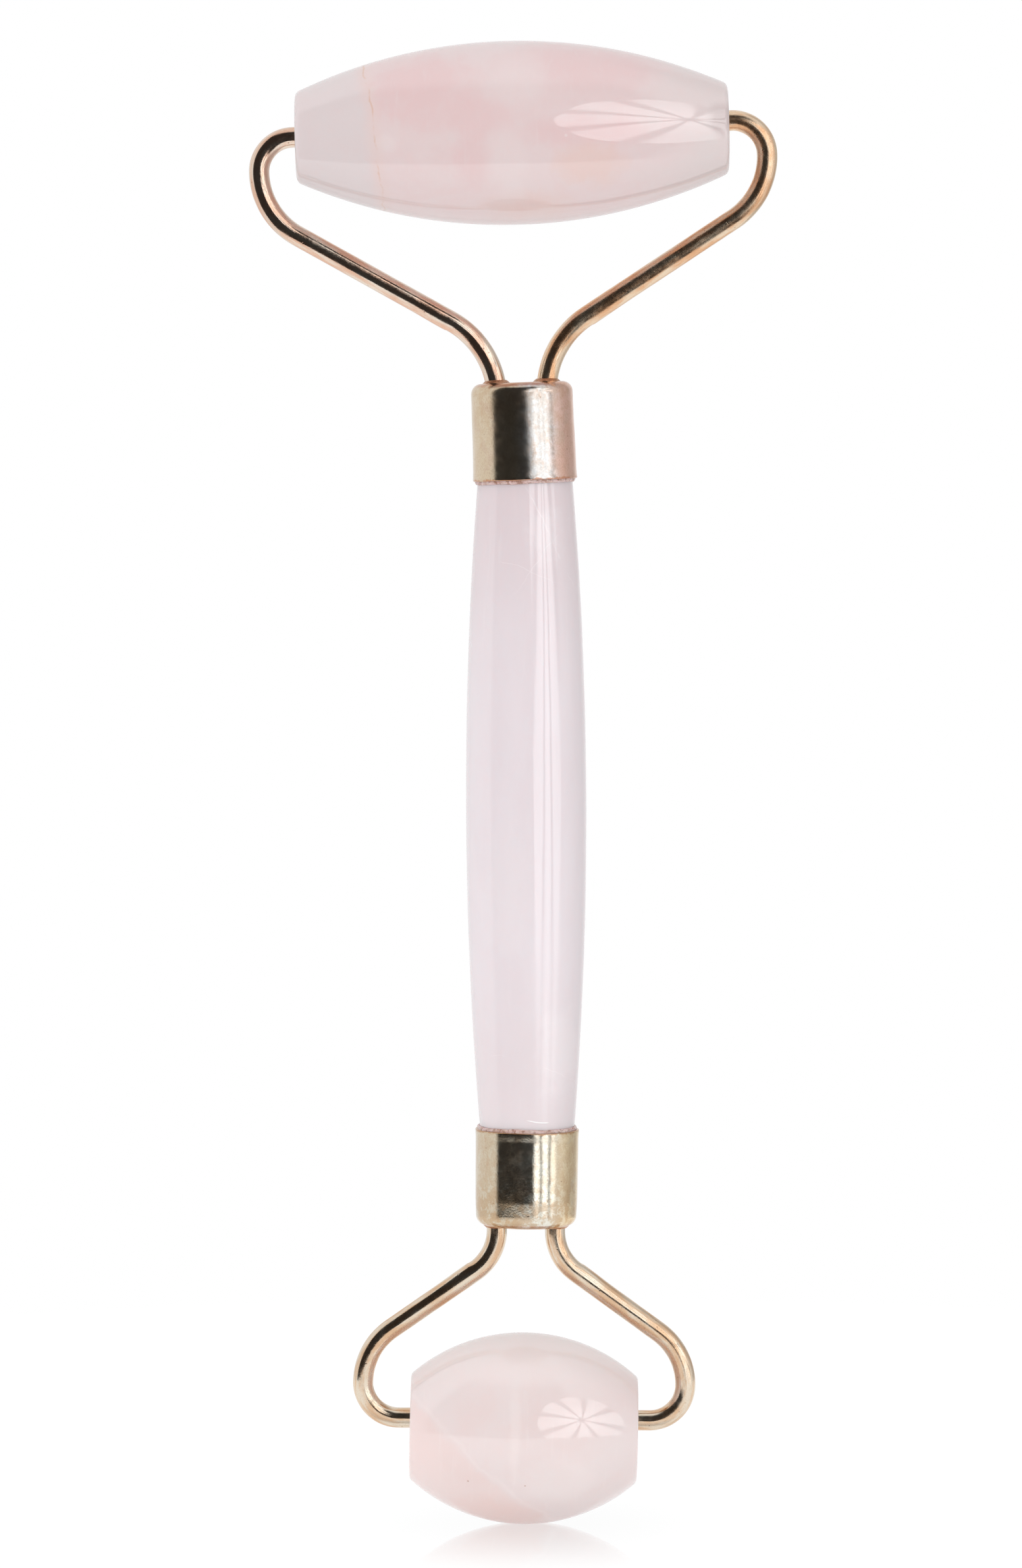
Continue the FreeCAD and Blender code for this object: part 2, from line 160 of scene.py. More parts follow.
def sway(tree, reach, where, scale, detail=3.0, rough=0.5, warp=0.0):
    """Noise that swings from -reach to reach."""
    return sums(tree, "MULTIPLY_ADD", noise(tree, where, scale, detail, rough, warp), 2 * reach, -reach)


def blend(tree, share, first, second, kind="MIX"):
    """Mixes two colours. Each is an output or an (r, g, b)."""
    made = put(tree, "ShaderNodeMix", data_type="RGBA", blend_type=kind)
    for number, filling in ((0, share), (6, first), (7, second)):
        fill(tree, made.inputs[number], (*filling, 1.0) if isinstance(filling, tuple) else filling)
    return made.outputs[2]


def bump(tree, height, strength, distance, under=None):
    at = {"Height": height, "Strength": strength, "Distance": distance}
    if under:
        at["Normal"] = under
    return put(tree, "ShaderNodeBump", at).outputs[0]


def local(tree, origin=(0, 0, 0), turn=(0, 0, 0)):
    """Object coordinates seen from a piece's own frame, in millimetres."""
    source = put(tree, "ShaderNodeTexCoord").outputs["Object"]
    at = {"Vector": source, "Location": origin, "Rotation": turn, "Scale": (MM, MM, MM)}
    return put(tree, "ShaderNodeMapping", at, vector_type="TEXTURE").outputs[0]


def empty_material(name):
    material = bpy.data.materials.new(name)
    material.use_nodes = True
    material.node_tree.nodes.clear()
    return material, material.node_tree


def finish_of(name, build, **plain):
    """A material. build(tree) returns its colour, roughness and relief; plain holds what is even all over."""
    material, tree = empty_material(name)
    shader = put(tree, "ShaderNodeBsdfPrincipled")
    for socket, setting in plain.items():
        shader.inputs[socket.replace("_", " ")].default_value = setting
    for socket, source in zip(("Base Color", "Roughness", "Normal"), build(tree)):
        tree.links.new(source, shader.inputs[socket])
    put(tree, "ShaderNodeOutputMaterial", {"Surface": shader.outputs[0]})
    return material


# Frames of the heads and barrels


def head_frame(head):
    lean = Matrix.Rotation(math.radians(HEADS[head]["lean"]), 4, "Y")
    reach = GRIP["exposed"] / 2 * MM
    if head == "large":
        return Matrix.Translation((0, 0, reach)) @ lean
    return Matrix.Translation((0, 0, -reach)) @ lean @ Matrix.Rotation(math.pi, 4, "X")


def barrel_frame(head):
    """The barrel's own frame: its middle, with +X along its own axis, which is a little askew to the axle."""
    barrel = HEADS[head]["barrel"]
    rise = (HEADS[head]["axle"] + barrel["drop"]) * MM
    skew = Matrix.Rotation(math.radians(barrel["skew"]), 4, "Y")
    return head_frame(head) @ Matrix.Translation((0, 0, rise)) @ skew


def place_of(matrix):
    """Location and rotation of a frame, as a Mapping node takes them."""
    return tuple(matrix.to_translation()), tuple(matrix.to_euler("XYZ"))


# Rose quartz


def flecks(tree, where, pitch, size, share):
    """Small scattered spots, in about this share of the cells of a cell pattern."""
    cells = put(tree, "ShaderNodeTexVoronoi", {"Vector": where, "Scale": 1 / pitch, "Randomness": 1.0})
    chosen = sums(tree, "LESS_THAN", split(tree, cells.outputs["Color"])[0], share)
    spot = ease(tree, cells.outputs["Distance"], 0.4 * size / pitch, size / pitch, 1.0, 0.0)
    return times(tree, spot, chosen)


def cloud(tree, where, centre, size, strength, ragged=0.5):
    """A soft-edged patch inside the stone: an ellipsoid whose border a slow noise breaks up."""
    scaled = stretch(tree, away_from(tree, where, centre), tuple(1 / s for s in size))
    torn = sway(tree, ragged, where, 0.45, 4.0, 0.6, 0.3)
    return ease(tree, sums(tree, "ADD", vectors(tree, "LENGTH", scaled), torn), 0.35, 1.15, strength, 0.0)


def clouded(tree, where, colour, tint, patches, ragged=0.5):
    """The colour with clouds of a tint in it. Each patch is a centre, a size and a strength."""
    for centre, size, strength in patches:
        colour = blend(tree, cloud(tree, where, centre, size, strength, ragged), colour, tint)
    return colour


def mottled(tree, where, first, second, scale, warp, low=0.38, high=0.64):
    """A slow drift between two colours."""
    return blend(tree, ease(tree, noise(tree, where, scale, 4.0, 0.6, warp), low, high), first, second)


def threaded(tree, where, colour, tint, thin, strength, low=0.55, rough=0.6):
    """The colour with fine cloudy threads through it, thin along the axes whose factor is large."""
    threads = noise(tree, stretch(tree, where, thin), 1.0, 4.0, rough)
    return blend(tree, ease(tree, threads, low, 0.80, 0.0, strength), colour, tint)


def crack(tree, where, point, across, wave, width, strength):
    """A healed crack: a thin, slightly wavy sheet through a point, square to a direction."""
    square = Vector(across).normalized()
    off = vectors(tree, "DOT_PRODUCT", away_from(tree, where, point), tuple(square))
    bent = sway(tree, wave, where, 0.30, 3.0, 0.55)
    return ease(tree, sums(tree, "ABSOLUTE", sums(tree, "ADD", off, bent)), 0.0, width, strength, 0.0)


def polish(tree, where):
    """Hand-lapped stone: nearly a mirror, with softer patches, faint lapping waves and a few pits."""
    gloss = ease(tree, noise(tree, where, 0.35, 4.0, 0.6), 0.35, 0.75, 0.012, 0.036)
    pits = flecks(tree, shift(tree, where, (5, 3, 9)), 2.6, 0.12, 0.25)
    waves = bump(tree, noise(tree, where, 0.30, 2.0), 0.20, 0.02 * MM)
    lapped = bump(tree, noise(tree, where, 3.0, 2.0), 0.03, 0.004 * MM, waves)
    return gloss, bump(tree, pits, 0.25, -0.015 * MM, lapped)


def large_barrel_stone(tree):
    """Pink clouds, a clearer right end with a painted shadow of its bore showing through the stone, and a tan
    seam near the left end with greyer stone beyond it.
    """
    where = local(tree, *place_of(barrel_frame("large")))
    x, _, z = split(tree, where)
    pink, peach, pale = (0.757, 0.572, 0.572), (0.772, 0.592, 0.556), (0.775, 0.672, 0.668)
    clear, grey, painted_bore_shade = (0.720, 0.640, 0.632), (0.712, 0.640, 0.642), (0.560, 0.470, 0.465)
    halo, tan = (0.760, 0.600, 0.550), (0.700, 0.480, 0.380)
    fleck, speck = (0.830, 0.760, 0.752), (0.400, 0.240, 0.190)

    colour = mottled(tree, where, (0.757, 0.634, 0.632), (0.757, 0.612, 0.610), 0.14, 0.7)
    colour = clouded(tree, where, colour, pink, (
        ((-8.6, -6.5, 4.4), (6.0, 6.0, 5.0), 0.95),
        ((-3.6, -8.2, 1.2), (4.6, 5.0, 2.4), 0.75),
        ((-3.8, -7.8, -2.6), (2.2, 5.0, 3.2), 0.70),
        ((7.0, -5.0, 6.2), (9.0, 6.0, 3.0), 0.90),
        ((7.0, -8.0, -0.4), (8.0, 5.0, 1.9), 0.80),
        ((12.0, 6.0, 2.0), (6.0, 5.0, 4.0), 0.70),
        ((-5.0, 7.5, -2.0), (7.0, 5.0, 3.0), 0.75),
    ))
    colour = clouded(tree, where, colour, peach, (
        ((7.4, -7.6, -3.4), (4.2, 5.0, 2.6), 0.80),
        ((1.5, -5.0, -7.2), (5.0, 6.0, 1.8), 0.55),
    ))
    colour = clouded(tree, where, colour, pale, (
        ((1.0, -8.0, 5.0), (3.0, 6.0, 4.0), 0.55),
        ((-0.5, -8.0, -4.0), (2.4, 6.0, 5.0), 0.50),
        ((-12.0, -7.0, -1.0), (1.2, 3.0, 1.0), 0.8),
    ))
    colour = threaded(tree, where, colour, pale, (1.6, 0.4, 0.12), 0.35, rough=0.65)
    right_end = sums(tree, "MULTIPLY_ADD", noise(tree, where, 0.2), 9.0, x)
    colour = blend(tree, ease(tree, right_end, 15.5, 24.0, 0.0, 0.85), colour, clear)
    # Painted shade: a darker patch at the front of the right end, where the bore's shadow shows through the
    # stone.
    colour = clouded(tree, where, colour, painted_bore_shade, (((20.6, -4.6, 0.9), (1.9, 4.0, 1.7), 0.75),), 0.25)

    wave = sway(tree, 1.0, where, 0.20, 4.0, 0.55)
    seam = sums(tree, "ADD", sums(tree, "MULTIPLY_ADD", z, 0.13, x), sums(tree, "ADD", wave, 13.4))
    colour = blend(tree, ease(tree, seam, -1.6, 0.3, 0.80, 0.0), colour, grey)
    off = sums(tree, "ABSOLUTE", seam)
    colour = blend(tree, ease(tree, off, 0.1, 1.2, 0.22, 0.0), colour, halo)
    broken = ease(tree, noise(tree, where, 0.50, 3.0, 0.7), 0.38, 0.62, 0.02, 0.70)
    colour = blend(tree, times(tree, ease(tree, off, 0.03, 0.14, 1.0, 0.0), broken), colour, tan)

    colour = blend(tree, times(tree, flecks(tree, where, 4.2, 0.22, 0.30), 0.5), colour, fleck)
    specks = flecks(tree, shift(tree, where, (3, 8, 2)), 7.0, 0.16, 0.35)
    colour = blend(tree, times(tree, specks, 0.8), colour, speck)
    gloss, relief = polish(tree, where)
    return colour, gloss, relief


def small_barrel_stone(tree):
    """Paler than the large one, with a warmer zone at the lower left behind a slanting brink, and a top
    painted paler: painted light from above.
    """
    where = local(tree, *place_of(barrel_frame("small") @ Matrix.Rotation(math.pi, 4, "X")))
    x, _, z = split(tree, where)
    warm, peach, rosy = (0.785, 0.648, 0.628), (0.800, 0.620, 0.586), (0.810, 0.665, 0.645)
    pale, brink, top = (0.835, 0.750, 0.738), (0.825, 0.735, 0.720), (0.850, 0.755, 0.745)
    speck = (0.500, 0.300, 0.240)

    colour = mottled(tree, where, (0.778, 0.684, 0.676), (0.778, 0.660, 0.648), 0.12, 0.6)
    # Painted light: the top is painted paler, as if more light fell on it from above.
    colour = blend(tree, ease(tree, z, 2.5, 8.0, 0.0, 0.85), colour, top)
    wave = sway(tree, 1.6, where, 0.26, 4.0, 0.5)
    edge = sums(tree, "ADD", sums(tree, "MULTIPLY_ADD", x, 0.87, z), sums(tree, "ADD", wave, 6.4))
    colour = blend(tree, ease(tree, edge, -0.8, 0.3, 0.85, 0.0), colour, warm)
    colour = clouded(tree, where, colour, peach, (((-3.0, -5.0, -8.0), (6.0, 6.0, 3.2), 0.6),))
    colour = clouded(tree, where, colour, rosy, (((-9.5, -6.0, -1.0), (2.4, 5.0, 4.0), 0.5),))
    off = sums(tree, "ABSOLUTE", sums(tree, "SUBTRACT", edge, 0.4))
    colour = blend(tree, ease(tree, off, 0.0, 0.5, 0.35, 0.0), colour, brink)
    colour = clouded(tree, where, colour, pale, (
        ((-0.9, -8.5, 1.5), (0.7, 4.0, 6.5), 0.5),
        ((3.5, -8.0, -4.0), (5.0, 5.0, 2.6), 0.35),
        ((6.0, 6.0, 3.0), (4.0, 5.0, 4.0), 0.5),
    ))
    colour = threaded(tree, where, colour, pale, (1.4, 0.4, 0.14), 0.30)
    specks = flecks(tree, shift(tree, where, (1, 4, 6)), 4.6, 0.14, 0.3)
    colour = blend(tree, times(tree, specks, 0.8), colour, speck)
    gloss, relief = polish(tree, where)
    return colour, gloss, relief


def grip_stone(tree):
    """Lilac, warmer towards both ends, with healed cracks near them and a flake near the lower ferrule."""
    where = local(tree)
    x, y, z = split(tree, where)
    upper, lower, pale = (0.712, 0.610, 0.628), (0.735, 0.650, 0.660), (0.812, 0.748, 0.765)
    healed_tint, flake_tint, speck = (0.850, 0.790, 0.805), (0.930, 0.900, 0.905), (0.520, 0.420, 0.420)

    colour = mottled(tree, stretch(tree, where, (1, 1, 0.35)), (0.782, 0.714, 0.742), (0.770, 0.694, 0.722),
                     0.16, 0.5, 0.36, 0.66)
    drift = sums(tree, "MULTIPLY_ADD", noise(tree, where, 0.15), 8.0, z)
    colour = blend(tree, ease(tree, drift, 14.0, 36.0, 0.0, 0.80), colour, upper)
    colour = blend(tree, ease(tree, drift, -30.0, -8.0, 0.65, 0.0), colour, lower)
    colour = clouded(tree, where, colour, pale, (
        ((3.4, -4.0, -24.0), (3.0, 4.0, 5.0), 0.65),
        ((-1.5, -5.0, -8.0), (3.0, 4.0, 8.0), 0.35),
        ((1.8, -5.0, 26.5), (2.2, 4.0, 3.4), 0.55),
        ((0.0, 5.0, 5.0), (4.0, 3.0, 9.0), 0.5),
    ), 0.7)
    colour = threaded(tree, where, colour, pale, (1.2, 1.2, 0.10), 0.25, low=0.56)

    healed = 0.0
    for point, across, width in (
        ((2.2, -5.0, 27.0), (0.88, 0.15, 0.45), 0.10),
        ((2.6, -5.0, 25.6), (0.80, 0.1, -0.60), 0.08),
        ((-2.0, -5.0, 24.0), (0.35, 0.2, 0.90), 0.07),
        ((0.5, -5.0, -25.0), (0.25, 0.3, 0.95), 0.07),
    ):
        healed = sums(tree, "MAXIMUM", healed, crack(tree, where, point, across, 0.7, width, 0.55))
    ends = ease(tree, sums(tree, "ABSOLUTE", z), 19.0, 25.0)
    broken = ease(tree, noise(tree, shift(tree, where, (31, 7, 13)), 0.35), 0.45, 0.60)
    colour = blend(tree, times(tree, healed, ends, broken), colour, healed_tint)

    # The flake is the lowest part of a circle drawn on the front of the grip.
    centre_x, centre_z, radius = 1.9, -24.6, 6.2
    dx, dz = sums(tree, "SUBTRACT", x, centre_x), sums(tree, "SUBTRACT", z, centre_z)
    reach = sums(tree, "SQRT", sums(tree, "ADD", times(tree, dx, dx), times(tree, dz, dz)))
    off = sums(tree, "ABSOLUTE", sums(tree, "SUBTRACT", reach, radius))
    arc = ease(tree, off, 0.01, 0.09, 1.0, 0.0)
    lowest = times(tree, ease(tree, dz, -5.85, -6.0), ease(tree, y, -2.0, -2.5))
    flake = times(tree, arc, lowest, ease(tree, x, 1.9, 2.2, 1.0, 0.0))
    colour = blend(tree, flake, colour, flake_tint)
    colour = blend(tree, times(tree, flecks(tree, where, 5.4, 0.11, 0.35), 0.6), colour, speck)
    gloss, relief = polish(tree, where)
    gloss = sums(tree, "ADD", gloss, ease(tree, drift, -14.0, 2.0, 0.16, 0.0))
    return colour, gloss, bump(tree, flake, 0.4, 0.05 * MM, relief)


STONE = {
    "Subsurface_Weight": 0.5,
    "Subsurface_Radius": (1.0, 0.75, 0.74),
    "Subsurface_Scale": 2.0 * MM,
    "IOR": 1.544,
}


# Plated metal, glue, filler and nylon


def plate(head, left, front, right, copper, stain, stained, haze, smooth, rough):
    """Thin plating over brass on a drawn cup, in the head's own frame: the sides keep the plating's own cast
    and the front is painted paler and whiter, a painted highlight where the umbrella shows. The rim and the
    corner are worn coppery, and it has stains, orange peel from the bath and fine pits."""
    brown, streak = (0.520, 0.310, 0.140), (0.560, 0.350, 0.210)
    grain_tint, pit = (0.55, 0.42, 0.32), (0.30, 0.19, 0.12)

    def build(tree):
        where = local(tree, *place_of(head_frame(head)))
        x, _, z = split(tree, where)
        side = sums(tree, "MULTIPLY_ADD", noise(tree, where, 0.35, 3.0), 1.6, x)
        # Painted highlight: the front, where the umbrella shows, is paler and whiter than the plating's cast
        # at the sides.
        colour = blend(tree, ease(tree, side, -0.6, 1.6), left, front)
        colour = blend(tree, ease(tree, side, 2.7, 4.9), colour, right)
        stains = ease(tree, noise(tree, where, 0.50, 5.0, 0.65, 0.4), 0.50, 0.66, 0.0, stained)
        colour = blend(tree, stains, colour, stain)
        patches = noise(tree, shift(tree, where, (9, 4, 2)), 0.9, 5.0, 0.7, 0.3)
        browned = times(tree, ease(tree, z, 3.0, 8.5, 0.40, 1.0), ease(tree, patches, 0.40, 0.54, 0.0, haze))
        colour = blend(tree, browned, colour, brown)
        streaks = noise(tree, stretch(tree, where, (1.0, 1.0, 0.5)), 1.6, 4.0, 0.65)
        colour = blend(tree, ease(tree, streaks, 0.52, 0.72, 0.0, stained * 0.7), colour, streak)
        grain = noise(tree, where, 5.5, 3.0, 0.7)
        colour = blend(tree, ease(tree, grain, 0.40, 0.75, 0.0, 0.22), colour, grain_tint, "MULTIPLY")
        height = sums(tree, "ADD", z, sway(tree, 0.45, where, 1.2, 4.0, 0.7))
        rim = ease(tree, height, 0.04, 0.24, 0.75, 0.0)
        corner = ease(tree, height, FERRULE["length"] - 0.45, FERRULE["length"] - 0.10, 0.0, 0.70)
        colour = blend(tree, sums(tree, "MAXIMUM", rim, corner), colour, copper)
        pits = flecks(tree, where, 0.80, 0.12, 0.35)
        colour = blend(tree, times(tree, pits, 0.45), colour, pit)
        gloss = ease(tree, noise(tree, where, 1.1, 5.0, 0.7), 0.30, 0.75, smooth, rough)
        peel = bump(tree, noise(tree, where, 2.2, 3.0, 0.6), 0.14, 0.02 * MM)
        grained = bump(tree, grain, 0.30, 0.016 * MM, peel)
        return colour, gloss, bump(tree, pits, 0.4, -0.015 * MM, grained)

    return build


def drawn_wire(pale, warm, dark, smooth=0.10, rough=0.20):
    """Drawn and plated wire. It reads how far along and how far round a point lies, which the bending
    leaves on it."""
    pit = (0.25, 0.15, 0.10)

    def build(tree):
        where = local(tree)
        along = put(tree, "ShaderNodeAttribute", attribute_name="along").outputs["Fac"]
        around = put(tree, "ShaderNodeAttribute", attribute_name="around").outputs["Fac"]
        turn = times(tree, around, 2 * math.pi)
        ring = joined(tree, sums(tree, "COSINE", turn), sums(tree, "SINE", turn), times(tree, along, 1 / MM))
        cast = noise(tree, stretch(tree, ring, (1, 1, 0.18)), 1.3, 4.0, 0.6)
        colour = blend(tree, ease(tree, cast, 0.38, 0.62), pale, warm)
        grain = noise(tree, where, 8.0, 3.0, 0.75)
        colour = blend(tree, ease(tree, grain, 0.45, 0.75, 0.0, 0.20), colour, dark, "MULTIPLY")
        scratch = noise(tree, stretch(tree, ring, (7, 7, 0.30)), 1.0, 3.0, 0.6)
        colour = blend(tree, ease(tree, scratch, 0.66, 0.76, 0.0, 0.35), colour, dark)
        pits = flecks(tree, where, 0.70, 0.11, 0.35)
        colour = blend(tree, times(tree, pits, 0.5), colour, pit)
        gloss = ease(tree, noise(tree, where, 1.6, 4.0, 0.65), 0.30, 0.75, smooth, rough)
        peel = bump(tree, noise(tree, where, 2.4, 3.0, 0.6), 0.20, 0.03 * MM)
        drawn = bump(tree, scratch, 0.12, 0.012 * MM, peel)
        return colour, gloss, bump(tree, pits, 0.4, -0.015 * MM, drawn)

    return build


def brazing(tree):
    where = local(tree)
    copper, brown, scorched = (0.60, 0.34, 0.20), (0.42, 0.20, 0.11), (0.20, 0.11, 0.07)
    colour = blend(tree, ease(tree, noise(tree, where, 1.5, 4.0, 0.6), 0.35, 0.65), copper, brown)
    scale = ease(tree, noise(tree, where, 4.0, 3.0, 0.7), 0.56, 0.70, 0.0, 0.8)
    colour = blend(tree, scale, colour, scorched)
    gloss = ease(tree, noise(tree, where, 3.0, 3.0), 0.3, 0.7, 0.25, 0.5)
    relief = bump(tree, noise(tree, where, 3.5, 4.0, 0.7), 0.6, 0.08 * MM)
    return colour, gloss, relief


def epoxy(tree):
    where = local(tree)
    clear, amber, dirt = (0.66, 0.50, 0.48), (0.52, 0.34, 0.29), (0.30, 0.15, 0.10)
    colour = blend(tree, ease(tree, noise(tree, where, 0.8, 4.0, 0.6), 0.40, 0.62), clear, amber)
    colour = blend(tree, ease(tree, noise(tree, where, 2.6, 4.0, 0.7), 0.48, 0.60, 0.0, 0.80), colour, dirt)
    gloss = ease(tree, noise(tree, where, 2.0, 3.0), 0.3, 0.7, 0.15, 0.45)
    relief = bump(tree, noise(tree, where, 3.0, 4.0, 0.65), 0.5, 0.08 * MM)
    return colour, gloss, relief


def nylon(tree):
    where = local(tree)
    white, cream = (0.84, 0.82, 0.78), (0.74, 0.71, 0.66)
    colour = blend(tree, ease(tree, noise(tree, where, 1.2, 4.0, 0.6), 0.35, 0.65), white, cream)
    gloss = ease(tree, noise(tree, where, 4.0, 3.0), 0.3, 0.7, 0.35, 0.55)
    relief = bump(tree, noise(tree, where, 9.0, 3.0, 0.6), 0.3, 0.02 * MM)
    return colour, gloss, relief


# The front colours are painted highlights, paler and whiter than the plating, where the umbrella shows.
rose_plate = plate(
    "large", left=(0.700, 0.585, 0.435), front=(0.715, 0.720, 0.720), right=(0.790, 0.510, 0.415),
    copper=(0.520, 0.230, 0.120), stain=(0.650, 0.500, 0.400),
    stained=0.40, haze=0.25, smooth=0.14, rough=0.25)
yellow_plate = plate(
    "small", left=(0.680, 0.590, 0.455), front=(0.830, 0.810, 0.715), right=(0.800, 0.645, 0.420),
    copper=(0.450, 0.220, 0.090), stain=(0.730, 0.710, 0.590),
    stained=0.45, haze=0.55, smooth=0.09, rough=0.16)
rose_metal = ((0.800, 0.680, 0.570), (0.750, 0.480, 0.350), (0.420, 0.220, 0.140))
worn_metal = ((0.820, 0.660, 0.490), (0.760, 0.440, 0.250), (0.420, 0.180, 0.090))
yellow_metal = ((0.780, 0.680, 0.550), (0.700, 0.470, 0.300), (0.400, 0.220, 0.120))
FINISHES = {
    "large_stone": finish_of("large_barrel_rose_quartz", large_barrel_stone, **STONE),
    "small_stone": finish_of("small_barrel_rose_quartz", small_barrel_stone, **STONE),
    "grip_stone": finish_of("grip_rose_quartz", grip_stone, **STONE),
    "large_plate": finish_of("rose_gold_plate", rose_plate, Metallic=1.0),
    "small_plate": finish_of("yellow_gold_plate", yellow_plate, Metallic=1.0),
    "large_left_wire": finish_of("rose_gold_wire", drawn_wire(*rose_metal), Metallic=1.0),
    "large_right_wire": finish_of("worn_rose_gold_wire", drawn_wire(*worn_metal, 0.18, 0.32), Metallic=1.0),
    "small_left_wire": finish_of("yellow_gold_wire", drawn_wire(*yellow_metal), Metallic=1.0),
    "small_right_wire": finish_of("yellow_gold_wire_right", drawn_wire(*yellow_metal, 0.12, 0.24),
                                  Metallic=1.0),
    "filler": finish_of("copper_brazing_filler", brazing, Metallic=1.0),
    "glue": finish_of("cured_epoxy", epoxy, Subsurface_Weight=0.3, Subsurface_Scale=0.4 * MM),
    "nylon": finish_of("natural_nylon", nylon, Subsurface_Weight=0.25, Subsurface_Scale=0.5 * MM),
}


# Geometry Nodes trees


def new_tree(name, inputs):
    """A Geometry Nodes tree with a mesh or curve in, named inputs, and a mesh out."""
    tree = bpy.data.node_groups.new(name, "GeometryNodeTree")
    tree.interface.new_socket("Geometry", in_out="INPUT", socket_type="NodeSocketGeometry")
    for label, (kind, start) in inputs.items():
        socket = tree.interface.new_socket(label, in_out="INPUT", socket_type="NodeSocket" + kind)
        if start is not None:
            socket.default_value = start
    tree.interface.new_socket("Geometry", in_out="OUTPUT", socket_type="NodeSocketGeometry")
    return tree, put(tree, "NodeGroupInput").outputs


def close_tree(tree, made, finish):
    made = put(tree, "GeometryNodeSetShadeSmooth", {"Geometry": made}).outputs[0]
    made = put(tree, "GeometryNodeSetMaterial", {"Geometry": made, "Material": finish}).outputs[0]
    made = put(tree, "GeometryNodeRealizeInstances", {"Geometry": made}).outputs[0]
    put(tree, "NodeGroupOutput", {0: made})
    return tree


def stored(tree, geometry, name, value):
    """The geometry with a value kept on its points."""
    at = {"Geometry": geometry, "Name": name, "Value": value}
    return put(tree, "GeometryNodeStoreNamedAttribute", at, data_type="FLOAT", domain="POINT").outputs[0]


def kept(tree, name):
    return put(tree, "GeometryNodeInputNamedAttribute", {"Name": name}, data_type="FLOAT").outputs[0]


def turned_tree():
    """Turns an outline, given as points with the radius in X and the height in Z, round the Z axis. The
    hand's unevenness is a slow swell in the radius, and the edge near height zero can wander up and down."""
    tree, given = new_tree("turned_piece", {
        "Facets": ("Int", 128),
        "Unevenness": ("Float", 0.0),
        "Swell Size": ("Float", 0.008),
        "Wavy Edge": ("Float", 0.0),
        "Seed": ("Float", 0.0),
        "Finish": ("Material", None),
    })
    outline = given["Geometry"]
    count = put(tree, "GeometryNodeAttributeDomainSize", {"Geometry": outline}).outputs["Point Count"]
    around = sums(tree, "ADD", given["Facets"], 1.0)
    grid = put(tree, "GeometryNodeMeshGrid", {"Vertices X": count, "Vertices Y": around}).outputs["Mesh"]
    index = put(tree, "GeometryNodeInputIndex").outputs[0]
    row = sums(tree, "FLOOR", sums(tree, "DIVIDE", sums(tree, "ADD", index, 0.5), around))
    column = sums(tree, "SUBTRACT", index, times(tree, row, around))
    position = put(tree, "GeometryNodeInputPosition").outputs[0]
    spot = put(tree, "GeometryNodeSampleIndex", {"Geometry": outline, "Index": row}, data_type="FLOAT_VECTOR")
    tree.links.new(position, spot.inputs["Value"])
    radius, _, height = split(tree, spot.outputs[0])
    angle = sums(tree, "DIVIDE", times(tree, column, 2 * math.pi), given["Facets"])
    cosine, sine = sums(tree, "COSINE", angle), sums(tree, "SINE", angle)

    def ringed(r, h):
        return joined(tree, times(tree, r, cosine), times(tree, r, sine), h)

    seed, size = given["Seed"], given["Swell Size"]
    seeded = joined(tree, seed, seed, seed)
    scaled = vectors(tree, "DIVIDE", ringed(radius, height), joined(tree, size, size, size))
    swell = sums(tree, "SUBTRACT", noise(tree, vectors(tree, "ADD", scaled, seeded), 1.0, 1.0), 0.5)
    off_axis = ease(tree, radius, 0.0, 0.002)
    radius = sums(tree, "MULTIPLY_ADD", times(tree, swell, off_axis), given["Unevenness"], radius)
    # The edge's wander is read round one wide circle, so that it depends on the angle alone.
    circle = vectors(tree, "ADD", ringed(700.0, 0.0), seeded)
    wander = sums(tree, "SUBTRACT", noise(tree, circle, 0.0016, 3.0), 0.5)
    near_edge = ease(tree, sums(tree, "ABSOLUTE", height), 0.0002, 0.0012, 1.0, 0.0)
    height = sums(tree, "MULTIPLY_ADD", times(tree, wander, near_edge), given["Wavy Edge"], height)
    at = {"Geometry": grid, "Position": ringed(radius, height)}
    made = put(tree, "GeometryNodeSetPosition", at).outputs[0]
    made = put(tree, "GeometryNodeMergeByDistance", {"Geometry": made, "Distance": 1e-6}).outputs[0]
    return close_tree(tree, made, given["Finish"])


